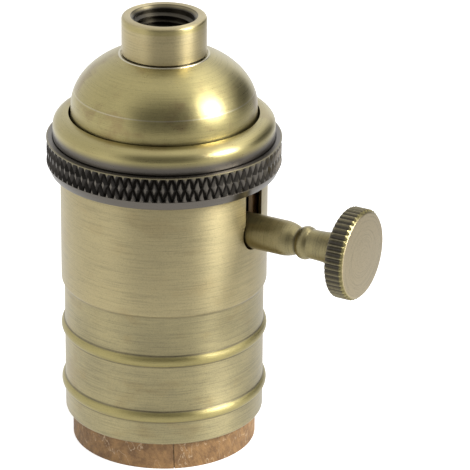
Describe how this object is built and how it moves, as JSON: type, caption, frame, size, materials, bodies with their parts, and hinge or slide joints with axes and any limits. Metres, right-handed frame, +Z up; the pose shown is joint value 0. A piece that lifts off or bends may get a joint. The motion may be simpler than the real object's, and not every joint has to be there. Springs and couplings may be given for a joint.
{
  "type": "lamp socket",
  "caption": "Brass lamp socket with a turn knob: threaded neck, dome cap, diamond-knurled union ring, beaded shell, fibre liner and a rotary switch over the screw shell.",
  "frame": {"origin": "on the socket's axis, in the plane of the liner's lower rim, on which it stands", "axes": "+Z up the socket's axis to the threaded neck, +X along the knob, away from the shell"},
  "size_m": [0.0568, 0.039, 0.0748],
  "materials": {
    "antique_brass": "brushed, aged",
    "dark_brass": "polished, darkened",
    "plain_brass": "bright",
    "bronze": "satin",
    "nickel": "plated",
    "steel": "zinc plated",
    "fibreboard": "mottled brown vulcanised fibre",
    "phenolic": "moulded black"
  },
  "bodies": {
    "socket": {"neck_collar": "antique_brass", "dome_cap": "antique_brass", "union_ring": "dark_brass", "shell": "antique_brass", "insulating_liner": "fibreboard", "switch_housing": "phenolic", "housing_cover": "phenolic", "cover_screws": "steel", "line_terminal": "plain_brass", "line_screw": "plain_brass", "neutral_terminal": "nickel", "neutral_screw": "nickel", "load_blade": "bronze", "screw_shell": "plain_brass", "screw_shell_rivets": "plain_brass", "centre_contact": "bronze", "centre_rivet": "plain_brass", "shaft_bushing": "plain_brass", "detent_spring": "bronze"},
    "turn_knob": {"knob": "antique_brass", "switch_shaft": "steel", "shaft_clip": "steel", "rotor": "phenolic", "contact_bridge": "bronze"}
  },
  "joints": [
    {"name": "knob_turn", "type": "hinge", "parent": "socket", "child": "turn_knob", "pos_m": [0, 0, 0.0404], "axis": [1, 0, 0], "continuous": true}
  ]
}
